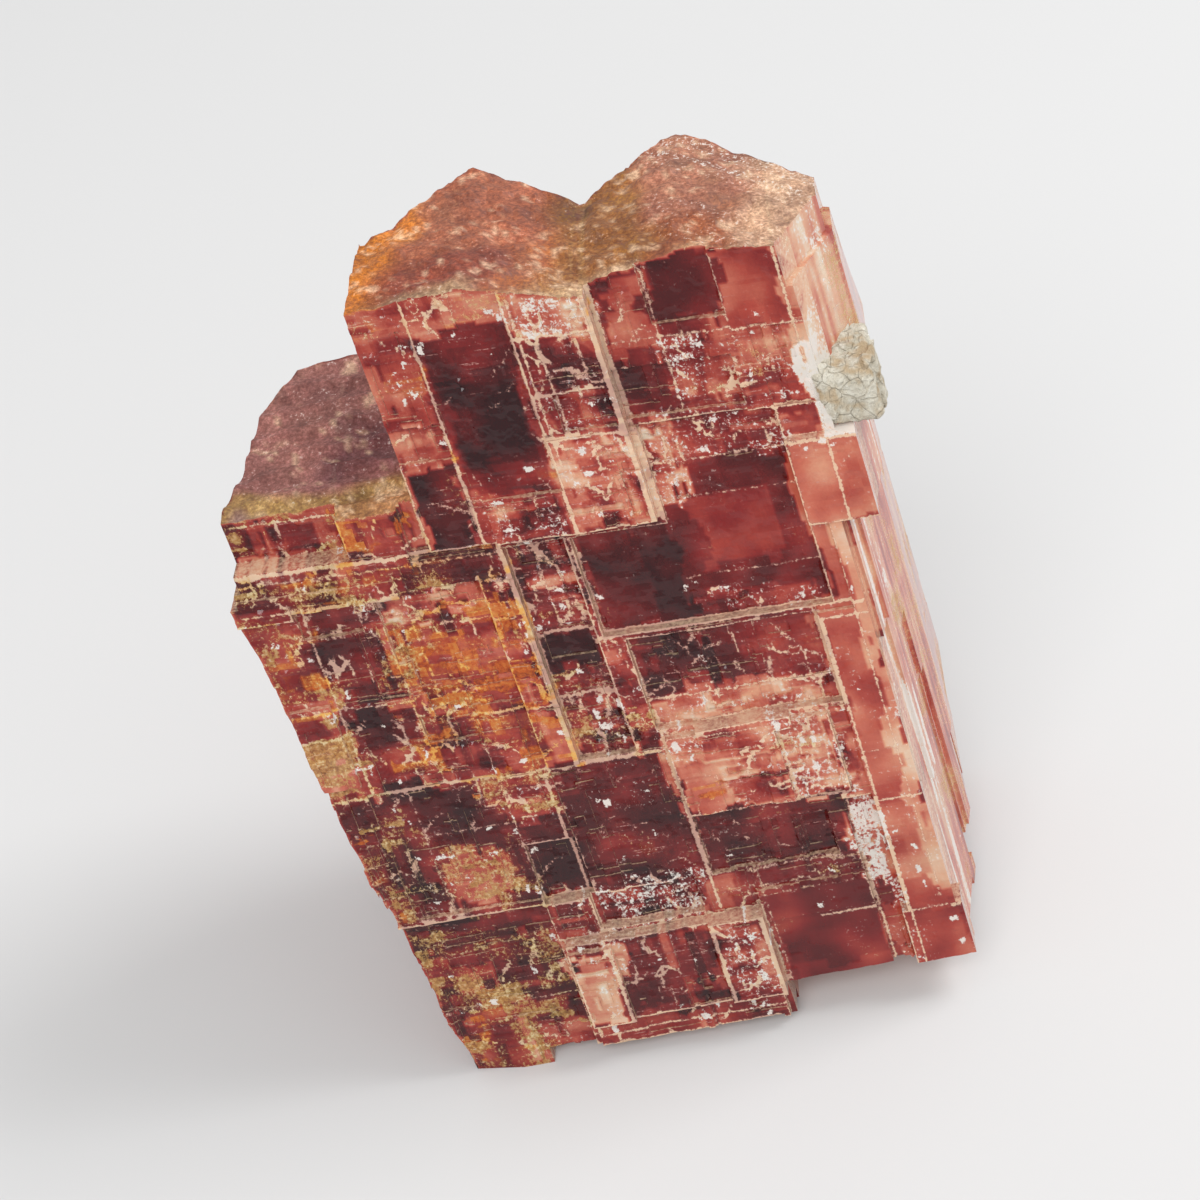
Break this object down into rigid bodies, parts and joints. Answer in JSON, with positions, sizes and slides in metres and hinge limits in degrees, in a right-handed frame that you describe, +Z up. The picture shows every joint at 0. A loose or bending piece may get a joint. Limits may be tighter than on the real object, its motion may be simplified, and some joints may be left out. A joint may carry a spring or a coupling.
{
  "type": "rhodochrosite crystal",
  "caption": "Stepped, see-through red cleavage block of rhodochrosite with a peaked rough top and a small cream crust, to stand on a shelf.",
  "frame": {"origin": "bottom centre of the bounding box, on the flat base that the crystal stands on", "axes": "+Z up, -Y towards the large stepped cleavage face with the raised plates, +X towards the side with the cream crust"},
  "size_m": [0.0294, 0.0216, 0.0311],
  "materials": {
    "crystal": "see-through wine red to salmon crystal with vitreous cleavage steps, pale edges and rusty stains",
    "crust": "matt cream mineral crust"
  },
  "bodies": {
    "root": {"rhodochrosite_crystal": "crystal"}
  },
  "joints": []
}
